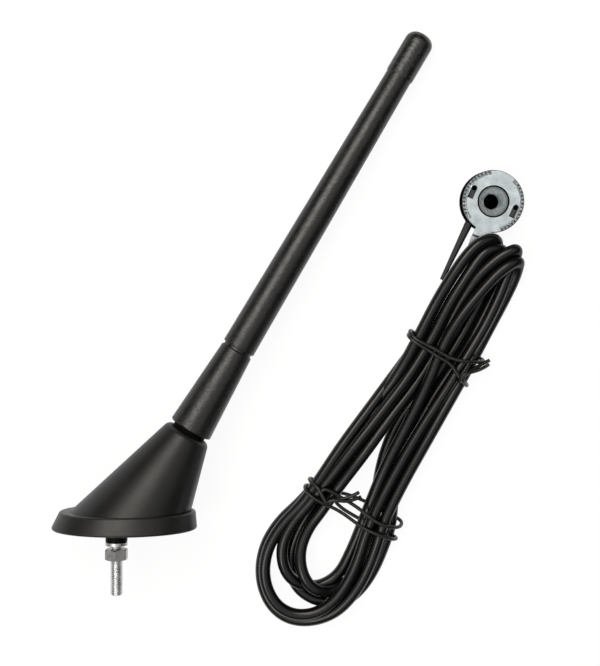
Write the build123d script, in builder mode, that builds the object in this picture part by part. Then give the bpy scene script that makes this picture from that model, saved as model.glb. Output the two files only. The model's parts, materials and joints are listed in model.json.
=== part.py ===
from build123d import *
from math import acos, atan, atan2, cos, degrees, hypot, pi, radians, sin, sqrt, tan
import os

os.makedirs("parts", exist_ok=True)

# A car's mast aerial and its tied lead, laid flat on a table. All lengths are in millimetres.
# The aerial lies on its side, on the edge of its rubber gasket and on the tip of its mast.
# Gaps between pieces that fit in one another, on each side
press_gap = 0.03
slip_gap = 0.1
thread_gap = 0.05

# Roof gasket: an oval rubber tray that narrows from the roof face to its lip
gasket_length = 69.5
gasket_width = 52.0
gasket_ahead = 3.6
lip_length = 64.4
lip_width = 48.0
lip_ahead = 5.4
gasket_height = 8.6
gasket_floor = 2.0
gasket_edge_radius = 1.0
lip_edge_radius = 1.2

# Base cover: a hollow moulding from an oval foot to a round top that leans with the mast
cover_length = 57.2
cover_width = 45.0
cover_ahead = 6.9
cover_wall = 2.4
cover_top_wall = 3.0
cover_top_diameter = 21.9
cover_top_ahead = 34.3
cover_top_height = 45.8
cover_edge_radius = 3.2
mast_lean = 30.6

# Insulating plate under the core, with the boss that passes through the roof
plate_thickness = 2.5
boss_diameter = 10.4
boss_drop = 6.4
boss_chamfer = 0.6

# Die-cast core: a foot over the roof stud and a leaning post that holds the mast's bush
foot_thickness = 6.5
foot_width = 19.0
foot_reach = 13.0
post_diameter = 14.0
bush_diameter = 9.0
bush_length = 14.0
bush_thread_depth = 12.4

# Roof stud with its split washer and nut
stud_diameter = 6.0
stud_drop = 31.7
stud_grip = 5.0
stud_chamfer = 0.8
washer_diameter = 10.4
washer_bore = 6.4
washer_thickness = 1.5
washer_split = 1.2
nut_across_flats = 10.0
nut_height = 5.0
nut_gap = 1.8
nut_chamfer_angle = 30.0

# Mast, measured along its own axis from the top of the cover
seal_diameter = 16.4
seal_thickness = 1.8
mast_stud_diameter = 5.0
mast_stud_below = 11.4
mast_stud_above = 10.0
ferrule_diameter = 10.0
ferrule_length = 30.0
core_seat = 12.0
grip_length = 43.5
grip_foot_diameter = 21.0
grip_top_diameter = 15.7
grip_edge_radius = 0.8
groove_diameter = 14.2
groove_height = 1.3
rod_length = 149.6
rod_foot_diameter = 16.1
rod_top_diameter = 12.8
rod_edge_radius = 0.5
spigot_diameter = 10.6
spigot_length = 11.0
cap_spigot_diameter = 9.4
cap_spigot_length = 12.0
core_diameter = 5.0
core_top_gap = 6.0
winding_thickness = 0.7
winding_end = 3.0
cap_length = 23.2
cap_diameter = 13.7
cap_dome_radius = 4.8
cap_foot_chamfer = 1.4
cap_foot_diameter = 12.8

# Earth terminal at the end of the lead
terminal_x = 120.5
terminal_y = 53.4
collar_diameter = 30.0
collar_height = 8.4
sheet = 0.8
disc_diameter = 29.2
plateau_diameter = 25.5
disc_bore = 15.4
ring_height = 0.5
tooth_pitch_angle = 7.5
tooth_notch_depth = 1.1
tooth_notch_width = 0.9
teeth_per_arc = 15
tooth_arc_starts = (98.0, 288.0)
tab_arcs = ((46.0, 94.0), (216.0, 284.0))
key_slot_length = 6.6
key_slot_width = 2.8
key_slot_radius = 11.0
key_slot_angle = 155.0
key_hole_diameter = 2.4
key_hole_depth = 4.0
eyelet_diameter = 14.0
eyelet_bore = 7.5
eyelet_depth = 5.4
eyelet_tube = 3.2
neck_angle = 251.0
neck_width = 9.2
neck_start = 17.8
crimp_start = 18.6
crimp_length = 7.4
crimp_wall = 0.7
arm_root_angle = 223.0
arm_root_radius = 13.6
arm_angle = 245.0
arm_length = 31.5
arm_root_width = 3.6
arm_tip_width = 1.8
arm_root_height = 7.8
arm_tip_height = 3.4
arm_shoulder = 0.4

# Lead: one round cable, its short free tail and the tied hank
cable_diameter = 5.8
tail_start = 19.0
tail_first_run = 11.4
tail_second_run = 10.0
tail_turn = -12.0
hank_corners = (
    (113.0, 37.0),
    (3.0, -127.0),
    (13.0, -156.5),
    (43.0, -157.5),
    (75.5, -112.0),
    (82.5, -87.0),
    (138.5, 25.0),
    (130.0, 36.0),
)
hank_corner_radii = (9.0, 22.0, 14.0, 22.0, 30.0, 40.0, 9.0, 7.0)
opening_corners = (
    (67.0, -69.0),
    (31.5, -113.5),
    (36.0, -133.0),
    (55.5, -113.0),
)
opening_corner_radii = (3.5, 16.0, 5.5, 25.0)
hank_height = 15.0
hank_edge_radius = 3.0
pocket_gap = 0.5
tie_wire = 1.6
tie_wraps = 2
tie_corner_radius = 4.0
upper_tie_place = (99.8, -16.9)
upper_tie_angle = -20.8
upper_tie_span = 37.6
lower_tie_place = (54.0, -95.6)
lower_tie_angle = -21.4
lower_tie_span = 51.0

# Plug at the far end of the lead, in a hollow under the hank
plug_place = (43.4, -84.8)
plug_angle = 52.4
plug_sleeve_length = 18.0
plug_sleeve_diameter = 9.6
plug_sleeve_neck = 7.2
plug_body_length = 12.0
plug_body_diameter = 9.2
plug_body_wall = 1.0
plug_pin_diameter = 3.2
plug_pin_reach = 9.0
plug_pin_root = 8.0

# Lie of the aerial: a table touches the gasket's edge and the tip cap at once.
grip_foot = seal_thickness
grip_top = grip_foot + grip_length
rod_foot = grip_top + groove_height
rod_top = rod_foot + rod_length
cap_top = rod_top + cap_length
lean = radians(mast_lean)
wall_slope = atan((gasket_width - lip_width) / 2 / gasket_height)
edge_side = gasket_width / 2 - gasket_edge_radius * (tan(wall_slope) + 1 / cos(wall_slope))
shoulder_ahead = cover_top_ahead + (cap_top - cap_dome_radius) * sin(lean)
shoulder_height = cover_top_height + (cap_top - cap_dome_radius) * cos(lean)
cap_flat = cap_diameter / 2 - cap_dome_radius
rise = shoulder_height - gasket_edge_radius
lie = acos((cap_diameter / 2 - gasket_edge_radius) / hypot(edge_side, rise)) - atan2(rise, edge_side)
lie_height = edge_side * cos(lie) + gasket_edge_radius * (1 + sin(lie))

# The origin is under the middle of the aerial's box, on the table.
back_end = gasket_ahead - gasket_length / 2
front_end = shoulder_ahead + cap_flat * cos(lean) + cap_dome_radius
low_end = -stud_drop * cos(lie) - stud_diameter / 2 * sin(lie)
cap_reach = cap_flat * sqrt(1 - (cos(lean) * cos(lie)) ** 2) + cap_dome_radius
high_end = shoulder_height * cos(lie) + cap_reach
deck = Plane(
    origin=(-(back_end + front_end) / 2, -(low_end + high_end) / 2, lie_height),
    x_dir=(1, 0, 0),
    z_dir=(0, cos(lie), -sin(lie)),
)
deck_side = Plane(origin=deck.origin, x_dir=deck.x_dir, z_dir=-deck.y_dir)
stud_axis = Axis(deck.origin, deck.z_dir)
top_place = Location((cover_top_ahead, 0, cover_top_height), (0, mast_lean, 0))
mast = Plane(deck.location * top_place)
mast_side = Plane(origin=mast.origin, x_dir=mast.x_dir, z_dir=-mast.y_dir)
mast_axis = Axis(mast.origin, mast.z_dir)

# Heights in the base, from the roof face
core_bottom = gasket_floor + plate_thickness
stud_top = core_bottom + stud_grip
inner_length = cover_length - 2 * cover_wall
inner_width = cover_width - 2 * cover_wall


def flat_direction(angle):
    return Vector(cos(radians(angle)), sin(radians(angle)), 0)


def upright_section(origin, angle):
    """A plane that faces along a level direction, with its own y upwards."""
    facing = flat_direction(angle)
    return Plane(origin=origin, x_dir=Vector(-facing.Y, facing.X, 0), z_dir=facing)


# Base gasket
with BuildPart() as base_gasket:
    with BuildSketch(deck):
        with Locations((gasket_ahead, 0)):
            Ellipse(gasket_length / 2, gasket_width / 2)
    with BuildSketch(deck.offset(gasket_height)):
        with Locations((lip_ahead, 0)):
            Ellipse(lip_length / 2, lip_width / 2)
    loft()
    fillet(base_gasket.edges().group_by(stud_axis)[0], gasket_edge_radius)
    fillet(base_gasket.edges().group_by(stud_axis)[-1], lip_edge_radius)
    with BuildSketch(deck.offset(gasket_floor)):
        with Locations((cover_ahead, 0)):
            Ellipse(cover_length / 2 + slip_gap, cover_width / 2 + slip_gap)
    extrude(amount=gasket_height, mode=Mode.SUBTRACT)
    with BuildSketch(deck):
        Circle(boss_diameter / 2 + slip_gap)
    extrude(amount=gasket_floor, mode=Mode.SUBTRACT)
base_gasket.part.label = "base_gasket"
export_step(base_gasket.part, "parts/base_gasket.step")

# Base cover: an outer skin, less the hollow that follows it inside
quarter_starts = (0, 90, 180, 270)
inner_top_diameter = cover_top_diameter - 2 * cover_wall
cover_skins = (
    (cover_length, cover_width, cover_top_diameter, mast, Mode.ADD),
    (inner_length, inner_width, inner_top_diameter, mast.offset(-cover_top_wall), Mode.SUBTRACT),
)
with BuildPart() as base_cover:
    for length, width, top_diameter, top_plane, skin in cover_skins:
        with BuildSketch(deck.offset(gasket_floor)):
            with Locations((cover_ahead, 0)):
                Ellipse(length / 2, width / 2)
        extrude(amount=gasket_height - gasket_floor, mode=skin)
        with BuildSketch(deck.offset(gasket_height)):
            with BuildLine():
                for start in quarter_starts:
                    EllipticalCenterArc(
                        (cover_ahead, 0), length / 2, width / 2, start_angle=start, arc_size=90
                    )
            make_face()
        with BuildSketch(top_plane):
            with BuildLine():
                for start in quarter_starts:
                    CenterArc((0, 0), top_diameter / 2, start, 90)
            make_face()
        loft(ruled=True, mode=skin)
    fillet(base_cover.edges().group_by(mast_axis)[-1], cover_edge_radius)
    with BuildSketch(mast):
        Circle(bush_diameter / 2 + slip_gap)
    extrude(amount=-2 * cover_top_wall, mode=Mode.SUBTRACT)
base_cover.part.label = "base_cover"
export_step(base_cover.part, "parts/base_cover.step")

# Insulating plate with its boss
with BuildPart() as insulator_plate:
    with BuildSketch(deck.offset(gasket_floor)):
        with Locations((cover_ahead, 0)):
            Ellipse(inner_length / 2 - slip_gap, inner_width / 2 - slip_gap)
    extrude(amount=plate_thickness)
    with BuildSketch(deck.offset(-boss_drop)):
        Circle(boss_diameter / 2)
    extrude(amount=boss_drop + gasket_floor)
    chamfer(insulator_plate.edges().group_by(stud_axis)[0], boss_chamfer)
    with BuildSketch(deck.offset(-boss_drop)):
        Circle(stud_diameter / 2 + slip_gap)
    extrude(amount=boss_drop + core_bottom, mode=Mode.SUBTRACT)
insulator_plate.part.label = "insulator_plate"
export_step(insulator_plate.part, "parts/insulator_plate.step")

# Die-cast core
post_height = cover_top_height - cover_top_wall * cos(lean) - core_bottom
post_length = post_height / cos(lean) + post_diameter * tan(lean)
with BuildPart() as base_core:
    with BuildSketch(deck.offset(core_bottom)):
        with Locations((foot_reach / 2, 0)):
            SlotCenterToCenter(foot_reach, foot_width)
    extrude(amount=foot_thickness)
    with BuildSketch(mast.offset(-cover_top_wall)):
        Circle(post_diameter / 2)
    extrude(amount=-post_length)
    split(bisect_by=deck.offset(core_bottom), keep=Keep.TOP)
    with BuildSketch(deck.offset(core_bottom)):
        Circle(stud_diameter / 2 + thread_gap)
    extrude(amount=stud_grip, mode=Mode.SUBTRACT)
    with BuildSketch(mast.offset(-bush_length)):
        Circle(bush_diameter / 2 + press_gap)
    extrude(amount=bush_length, mode=Mode.SUBTRACT)
base_core.part.label = "base_core"
export_step(base_core.part, "parts/base_core.step")

# Threaded bush for the mast
with BuildPart() as mast_bush:
    with BuildSketch(mast.offset(-bush_length)):
        Circle(bush_diameter / 2)
    extrude(amount=bush_length)
    with BuildSketch(mast):
        Circle(mast_stud_diameter / 2 + thread_gap)
    extrude(amount=-bush_thread_depth, mode=Mode.SUBTRACT)
mast_bush.part.label = "mast_bush"
export_step(mast_bush.part, "parts/mast_bush.step")

# Roof stud
with BuildPart() as roof_stud:
    with BuildSketch(deck.offset(-stud_drop)):
        Circle(stud_diameter / 2)
    extrude(amount=stud_drop + stud_top)
    chamfer(roof_stud.edges().group_by(stud_axis)[0], stud_chamfer)
roof_stud.part.label = "roof_stud"
export_step(roof_stud.part, "parts/roof_stud.step")

# Split washer
with BuildPart() as lock_washer:
    with BuildSketch(deck.offset(-boss_drop)):
        Circle(washer_diameter / 2)
        Circle(washer_bore / 2, mode=Mode.SUBTRACT)
        with Locations((0, washer_diameter / 2)):
            Rectangle(washer_split, washer_diameter, mode=Mode.SUBTRACT)
    extrude(amount=-washer_thickness)
lock_washer.part.label = "lock_washer"
export_step(lock_washer.part, "parts/lock_washer.step")

# Nut, with its corners turned down at both ends
nut_top = -boss_drop - washer_thickness - nut_gap
nut_corner = nut_across_flats / 2 / cos(pi / 6)
corner_drop = (nut_corner - nut_across_flats / 2) * tan(radians(nut_chamfer_angle))
with BuildPart() as roof_nut:
    with BuildSketch(deck.offset(nut_top)):
        RegularPolygon(nut_across_flats / 2, 6, major_radius=False, rotation=30)
        Circle(stud_diameter / 2 + thread_gap, mode=Mode.SUBTRACT)
    extrude(amount=-nut_height)
    with BuildSketch(deck_side):
        with BuildLine():
            Polyline(
                (0, nut_top),
                (nut_across_flats / 2, nut_top),
                (nut_corner, nut_top - corner_drop),
                (nut_corner, nut_top - nut_height + corner_drop),
                (nut_across_flats / 2, nut_top - nut_height),
                (0, nut_top - nut_height),
                close=True,
            )
        make_face()
    revolve(axis=stud_axis, mode=Mode.INTERSECT)
roof_nut.part.label = "roof_nut"
export_step(roof_nut.part, "parts/roof_nut.step")

# Seal between the cover and the mast
with BuildPart() as seal_ring:
    with BuildSketch(mast):
        Circle(seal_diameter / 2)
        Circle(mast_stud_diameter / 2 + slip_gap, mode=Mode.SUBTRACT)
    extrude(amount=seal_thickness)
seal_ring.part.label = "seal_ring"
export_step(seal_ring.part, "parts/seal_ring.step")

# Threaded stud of the mast
with BuildPart() as mast_stud:
    with BuildSketch(mast.offset(-mast_stud_below)):
        Circle(mast_stud_diameter / 2)
    extrude(amount=mast_stud_below + grip_foot + mast_stud_above)
    chamfer(mast_stud.edges().group_by(mast_axis)[0], stud_chamfer)
mast_stud.part.label = "mast_stud"
export_step(mast_stud.part, "parts/mast_stud.step")

# Ferrule that joins the stud to the glass-fibre core
ferrule_top = grip_foot + ferrule_length
with BuildPart() as mast_ferrule:
    with BuildSketch(mast.offset(grip_foot)):
        Circle(ferrule_diameter / 2)
    extrude(amount=ferrule_length)
    with BuildSketch(mast.offset(grip_foot)):
        Circle(mast_stud_diameter / 2 + press_gap)
    extrude(amount=mast_stud_above, mode=Mode.SUBTRACT)
    with BuildSketch(mast.offset(ferrule_top)):
        Circle(core_diameter / 2 + press_gap)
    extrude(amount=-core_seat, mode=Mode.SUBTRACT)
mast_ferrule.part.label = "mast_ferrule"
export_step(mast_ferrule.part, "parts/mast_ferrule.step")

# Tapered grip at the foot of the mast
winding_diameter = core_diameter + 2 * winding_thickness
wire_bore = winding_diameter / 2 + slip_gap
spigot_foot = grip_top - spigot_length
with BuildPart() as mast_grip:
    with BuildSketch(mast_side):
        with BuildLine():
            Polyline(
                (ferrule_diameter / 2 + press_gap, grip_foot),
                (grip_foot_diameter / 2, grip_foot),
                (grip_top_diameter / 2, grip_top),
                (spigot_diameter / 2 + press_gap, grip_top),
                (spigot_diameter / 2 + press_gap, spigot_foot),
                (wire_bore, spigot_foot),
                (wire_bore, ferrule_top),
                (ferrule_diameter / 2 + press_gap, ferrule_top),
                close=True,
            )
        make_face()
    revolve(axis=mast_axis)
    foot_edge = mast_grip.edges().group_by(mast_axis)[0].sort_by(SortBy.RADIUS)[-1]
    top_edge = mast_grip.edges().group_by(mast_axis)[-1].sort_by(SortBy.RADIUS)[-1]
    fillet([foot_edge, top_edge], grip_edge_radius)
mast_grip.part.label = "mast_grip"
export_step(mast_grip.part, "parts/mast_grip.step")

# Tapered rod, with a groove above the grip and a spigot at each end
core_foot = ferrule_top - core_seat
core_top = rod_top - core_top_gap
with BuildPart() as mast_rod:
    with BuildSketch(mast_side):
        with BuildLine():
            Polyline(
                (wire_bore, spigot_foot),
                (spigot_diameter / 2, spigot_foot),
                (spigot_diameter / 2, grip_top),
                (groove_diameter / 2, grip_top),
                (groove_diameter / 2, rod_foot),
                (rod_foot_diameter / 2, rod_foot),
                (rod_top_diameter / 2, rod_top),
                (cap_spigot_diameter / 2, rod_top),
                (cap_spigot_diameter / 2, rod_top + cap_spigot_length),
                (0, rod_top + cap_spigot_length),
                (0, core_top),
                (wire_bore, core_top),
                close=True,
            )
        make_face()
    revolve(axis=mast_axis)
    rod_edges = mast_rod.edges().filter_by(GeomType.CIRCLE)
    fillet(rod_edges.sort_by(SortBy.RADIUS)[-1], rod_edge_radius)
mast_rod.part.label = "mast_rod"
export_step(mast_rod.part, "parts/mast_rod.step")

# Glass-fibre core and the wire wound on it
with BuildPart() as radiator_core:
    with BuildSketch(mast.offset(core_foot)):
        Circle(core_diameter / 2)
    extrude(amount=core_top - core_foot)
radiator_core.part.label = "radiator_core"
export_step(radiator_core.part, "parts/radiator_core.step")

with BuildPart() as radiator_winding:
    with BuildSketch(mast.offset(ferrule_top)):
        Circle(winding_diameter / 2)
        Circle(core_diameter / 2 + press_gap, mode=Mode.SUBTRACT)
    extrude(amount=core_top - winding_end - ferrule_top)
radiator_winding.part.label = "radiator_winding"
export_step(radiator_winding.part, "parts/radiator_winding.step")

# Tip cap
with BuildPart() as tip_cap:
    with BuildSketch(mast_side):
        with BuildLine():
            Polyline(
                (cap_spigot_diameter / 2 + press_gap, rod_top),
                (cap_foot_diameter / 2, rod_top),
                (cap_diameter / 2, rod_top + cap_foot_chamfer),
                (cap_diameter / 2, cap_top),
                (0, cap_top),
                (0, rod_top + cap_spigot_length),
                (cap_spigot_diameter / 2 + press_gap, rod_top + cap_spigot_length),
                close=True,
            )
        make_face()
    revolve(axis=mast_axis)
    fillet(tip_cap.edges().group_by(mast_axis)[-1], cap_dome_radius)
tip_cap.part.label = "tip_cap"
export_step(tip_cap.part, "parts/tip_cap.step")

# Earth terminal: the toothed disc with its raised face, neck and crimp
terminal = Plane(origin=(terminal_x, terminal_y, 0))
terminal_side = Plane(origin=terminal.origin, x_dir=(1, 0, 0), z_dir=(0, -1, 0))
terminal_axis = Axis(terminal.origin, (0, 0, 1))
face_height = collar_height + 2 * sheet
plateau_radius = plateau_diameter / 2
disc_radius = disc_diameter / 2
crimp_radius = cable_diameter / 2 + press_gap + crimp_wall
neck_direction = flat_direction(neck_angle)
neck_side = Plane(
    origin=terminal.origin,
    x_dir=neck_direction,
    z_dir=Vector(neck_direction.Y, -neck_direction.X, 0),
)
crimp_place = terminal.origin + neck_direction * crimp_start + Vector(0, 0, crimp_radius)
crimp_plane = Plane(origin=crimp_place, z_dir=neck_direction)
crimp_top = 2 * crimp_radius
key_slot_places = [
    Location(flat_direction(side) * key_slot_radius, (0, 0, key_slot_angle - 90))
    for side in (key_slot_angle, key_slot_angle + 180)
]
with BuildPart() as ground_disc:
    with BuildSketch(terminal.offset(collar_height)):
        Circle(disc_radius)
        for arc_start in tooth_arc_starts:
            with PolarLocations(
                disc_radius, teeth_per_arc, arc_start, tooth_pitch_angle * teeth_per_arc
            ):
                Rectangle(2 * tooth_notch_depth, tooth_notch_width, mode=Mode.SUBTRACT)
    extrude(amount=sheet)
    with BuildSketch(terminal.offset(collar_height + sheet)):
        Circle(plateau_radius)
        for tab_start, tab_end in tab_arcs:
            with BuildLine():
                tab_edge = CenterArc((0, 0), disc_radius, tab_start, tab_end - tab_start)
                Polyline(tab_edge @ 1, (0, 0), tab_edge @ 0)
            make_face()
    extrude(amount=sheet)
    with BuildSketch(neck_side):
        with BuildLine():
            Polyline(
                (plateau_radius, face_height - sheet),
                (plateau_radius, face_height),
                (neck_start, face_height),
                (crimp_start, crimp_top),
                (crimp_start + crimp_length, crimp_top),
                (crimp_start + crimp_length, crimp_top - crimp_wall),
                (crimp_start - sheet, crimp_top - crimp_wall),
                (neck_start - sheet, face_height - sheet),
                close=True,
            )
        make_face()
    extrude(amount=neck_width / 2 - crimp_wall, both=True)
    with BuildSketch(crimp_plane):
        Circle(crimp_radius)
    extrude(amount=crimp_length)
    with BuildSketch(crimp_plane.offset(-sheet)):
        Circle(crimp_radius - crimp_wall)
    extrude(amount=crimp_length + sheet, mode=Mode.SUBTRACT)
    with BuildSketch(terminal):
        Circle(disc_bore / 2)
        with Locations(*key_slot_places):
            SlotOverall(key_slot_length, key_slot_width)
            Rectangle(key_slot_length / 2, key_slot_width, align=(Align.MAX, Align.CENTER))
    extrude(amount=face_height, mode=Mode.SUBTRACT)
    with BuildSketch(terminal.offset(collar_height)):
        Circle(plateau_radius - sheet)
    extrude(amount=sheet, mode=Mode.SUBTRACT)
ground_disc.part.label = "ground_disc"
export_step(ground_disc.part, "parts/ground_disc.step")

# Moulded collar under the disc, with its locating arm and a keying hole below each slot
eyelet_top = face_height - ring_height
eyelet_waist = eyelet_top - eyelet_depth
eyelet_foot = eyelet_waist - eyelet_tube
tube_radius = eyelet_bore / 2 + sheet
arm_root = terminal.origin + flat_direction(arm_root_angle) * arm_root_radius
arm_tip = arm_root + flat_direction(arm_angle) * arm_length
arm_sections = (
    (arm_root, arm_root_width, arm_root_height),
    (arm_tip, arm_tip_width, arm_tip_height),
)
with BuildPart() as terminal_collar:
    with BuildSketch(terminal_side):
        with BuildLine():
            Polyline(
                (tube_radius + press_gap, 0),
                (collar_diameter / 2, 0),
                (collar_diameter / 2, collar_height),
                (plateau_radius - sheet - slip_gap, collar_height),
                (plateau_radius - sheet - slip_gap, collar_height + sheet),
                (disc_bore / 2 - slip_gap, collar_height + sheet),
                (disc_bore / 2 - slip_gap, face_height),
                (eyelet_diameter / 2 + press_gap, face_height),
                (eyelet_diameter / 2 + press_gap, eyelet_top - sheet),
                (tube_radius + press_gap, eyelet_waist - sheet),
                close=True,
            )
        make_face()
    revolve(axis=terminal_axis)
    for place, width, height in arm_sections:
        with BuildSketch(upright_section(place, arm_angle)):
            with BuildLine():
                Polyline(
                    (-width / 2, 0),
                    (width / 2, 0),
                    (width / 2, arm_shoulder * height),
                    (0, height),
                    (-width / 2, arm_shoulder * height),
                    close=True,
                )
            make_face()
    loft(ruled=True)
    with BuildSketch(terminal_side):
        with BuildLine():
            Polyline(
                (0, 0),
                (tube_radius + press_gap, 0),
                (tube_radius + press_gap, eyelet_waist - sheet),
                (eyelet_diameter / 2 + press_gap, eyelet_top - sheet),
                (eyelet_diameter / 2 + press_gap, face_height),
                (0, face_height),
                close=True,
            )
        make_face()
    revolve(axis=terminal_axis, mode=Mode.SUBTRACT)
    with BuildSketch(terminal.offset(collar_height + sheet)):
        with Locations(*key_slot_places):
            with Locations(((key_slot_length - key_slot_width) / 2, 0)):
                Circle(key_hole_diameter / 2)
    extrude(amount=-key_hole_depth, mode=Mode.SUBTRACT)
terminal_collar.part.label = "terminal_collar"
export_step(terminal_collar.part, "parts/terminal_collar.step")

# Centre eyelet: a dished steel bush, insulated from the disc by the collar
with BuildPart() as centre_eyelet:
    with BuildSketch(terminal_side):
        with BuildLine():
            Polyline(
                (eyelet_diameter / 2, eyelet_top),
                (eyelet_diameter / 2 - sheet, eyelet_top),
                (eyelet_bore / 2, eyelet_waist),
                (eyelet_bore / 2, eyelet_foot),
                (tube_radius, eyelet_foot),
                (tube_radius, eyelet_waist - sheet),
                (eyelet_diameter / 2, eyelet_top - sheet),
                close=True,
            )
        make_face()
    revolve(axis=terminal_axis)
centre_eyelet.part.label = "centre_eyelet"
export_step(centre_eyelet.part, "parts/centre_eyelet.step")

# Free tail of the lead, from the crimp into the hank
tail_root = terminal.origin + neck_direction * tail_start + Vector(0, 0, crimp_radius)
tail_bend = tail_root + neck_direction * tail_first_run
tail_end = tail_bend + flat_direction(neck_angle + tail_turn) * tail_second_run
tail_places = (tail_root, tail_bend, tail_end)
tail_runs = [far - near for near, far in zip(tail_places, tail_places[1:])]
tail_radii = []
for run_in, run_out in zip(tail_runs, tail_runs[1:]):
    half_turn = radians(run_in.get_angle(run_out)) / 2
    tail_radii.append(0.45 * min(run_in.length, run_out.length) / tan(half_turn))
with BuildPart() as lead_tail:
    with BuildLine():
        tail_route = FilletPolyline(*tail_places, radius=tail_radii)
    with BuildSketch(Plane(origin=tail_places[0], z_dir=tail_runs[0])):
        Circle(cable_diameter / 2)
    sweep(path=tail_route)
lead_tail.part.label = "lead_tail"
export_step(lead_tail.part, "parts/lead_tail.step")
tail_length = tail_route.length
tail_section = pi * cable_diameter**2 / 4
print("tail radii", [round(radius, 1) for radius in tail_radii], "length", round(tail_length, 1))
print("tail volume / (section x length)", round(lead_tail.part.volume / tail_section / tail_length, 4))

# Plug, in steps along its own axis
plug_radius = max(plug_sleeve_diameter, plug_body_diameter) / 2
plug_start = Vector(*plug_place, plug_radius)
plug_line = Plane(origin=plug_start, z_dir=flat_direction(plug_angle))
plug_shell_end = plug_sleeve_length + plug_body_length
plug_length = plug_shell_end + plug_pin_reach
plug_core = plug_body_diameter / 2 - plug_body_wall
with BuildPart() as plug_sleeve:
    with BuildSketch(plug_line):
        Circle(plug_sleeve_neck / 2)
    with BuildSketch(plug_line.offset(plug_sleeve_length)):
        Circle(plug_sleeve_diameter / 2)
    loft(ruled=True)
plug_sleeve.part.label = "plug_sleeve"
export_step(plug_sleeve.part, "parts/plug_sleeve.step")

with BuildPart() as plug_body:
    with BuildSketch(plug_line.offset(plug_sleeve_length)):
        Circle(plug_body_diameter / 2)
        Circle(plug_core, mode=Mode.SUBTRACT)
    extrude(amount=plug_body_length)
plug_body.part.label = "plug_body"
export_step(plug_body.part, "parts/plug_body.step")

with BuildPart() as plug_insulator:
    with BuildSketch(plug_line.offset(plug_sleeve_length)):
        Circle(plug_core - press_gap)
        Circle(plug_pin_diameter / 2 + press_gap, mode=Mode.SUBTRACT)
    extrude(amount=plug_body_length)
plug_insulator.part.label = "plug_insulator"
export_step(plug_insulator.part, "parts/plug_insulator.step")

with BuildPart() as plug_pin:
    with BuildSketch(plug_line.offset(plug_shell_end - plug_pin_root)):
        Circle(plug_pin_diameter / 2)
    extrude(amount=plug_pin_root + plug_pin_reach)
    pin_edges = plug_pin.edges().filter_by(GeomType.CIRCLE)
    fillet(pin_edges.sort_by(Axis(plug_start, plug_line.z_dir))[-1], plug_pin_diameter * 0.4)
plug_pin.part.label = "plug_pin"
export_step(plug_pin.part, "parts/plug_pin.step")

# Ties: two wraps of covered wire, sunk into the hank where they pull it in
tie_width = tie_wraps * tie_wire
tie_height = hank_height


def tie_plane(place, angle):
    return upright_section(Vector(*place, tie_height / 2), angle - 90)


upper_tie_plane = tie_plane(upper_tie_place, upper_tie_angle)
lower_tie_plane = tie_plane(lower_tie_place, lower_tie_angle)
inner_corner = tie_corner_radius - tie_wire
with BuildPart() as upper_tie:
    with BuildSketch(upper_tie_plane):
        RectangleRounded(upper_tie_span, tie_height, tie_corner_radius)
        RectangleRounded(
            upper_tie_span - 2 * tie_wire,
            tie_height - 2 * tie_wire,
            inner_corner,
            mode=Mode.SUBTRACT,
        )
    extrude(amount=tie_width / 2, both=True)
upper_tie.part.label = "upper_tie"
export_step(upper_tie.part, "parts/upper_tie.step")

with BuildPart() as lower_tie:
    with BuildSketch(lower_tie_plane):
        RectangleRounded(lower_tie_span, tie_height, tie_corner_radius)
        RectangleRounded(
            lower_tie_span - 2 * tie_wire,
            tie_height - 2 * tie_wire,
            inner_corner,
            mode=Mode.SUBTRACT,
        )
    extrude(amount=tie_width / 2, both=True)
lower_tie.part.label = "lower_tie"
export_step(lower_tie.part, "parts/lower_tie.step")

# Hank: the outer shape of the tied loops, hollow below for the crimp, the tail and the plug
hank_margin = 2 * hank_height
tie_waists = (
    (upper_tie_plane, upper_tie_span),
    (lower_tie_plane, lower_tie_span),
)
pocket_width = 2 * (crimp_radius + pocket_gap)
pocket_mouth = terminal.origin + neck_direction * plateau_radius
with BuildPart() as lead_hank:
    with BuildSketch():
        with BuildLine():
            FilletPolyline(*hank_corners, radius=hank_corner_radii, close=True)
        make_face()
        with BuildLine():
            FilletPolyline(*opening_corners, radius=opening_corner_radii, close=True)
        make_face(mode=Mode.SUBTRACT)
    extrude(amount=hank_height)
    rims = lead_hank.faces().filter_by(Axis.Z).edges()
    fillet(rims, hank_edge_radius)
    for waist_plane, span in tie_waists:
        with BuildSketch(waist_plane):
            Rectangle(span + hank_margin, tie_height + hank_margin)
            RectangleRounded(
                span - 2 * (tie_wire + slip_gap),
                tie_height - 2 * (tie_wire + slip_gap),
                inner_corner,
                mode=Mode.SUBTRACT,
            )
        extrude(amount=tie_width / 2 + slip_gap, both=True, mode=Mode.SUBTRACT)
    with BuildSketch():
        for near, far in ((pocket_mouth, tail_bend), (tail_bend, tail_end)):
            heading = degrees(atan2(far.Y - near.Y, far.X - near.X))
            with Locations(Location(((near.X + far.X) / 2, (near.Y + far.Y) / 2), heading)):
                Rectangle(hypot(far.X - near.X, far.Y - near.Y), pocket_width)
        with Locations((tail_bend.X, tail_bend.Y)):
            Circle(pocket_width / 2)
    extrude(amount=face_height + pocket_gap, mode=Mode.SUBTRACT)
    plug_middle = plug_start + plug_line.z_dir * (plug_length + pocket_gap) / 2
    with BuildSketch():
        with Locations(Location((plug_middle.X, plug_middle.Y), plug_angle)):
            Rectangle(plug_length + pocket_gap, 2 * (plug_radius + pocket_gap))
    extrude(amount=2 * plug_radius + pocket_gap, mode=Mode.SUBTRACT)
lead_hank.part.label = "lead_hank"
export_step(lead_hank.part, "parts/lead_hank.step")

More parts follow.
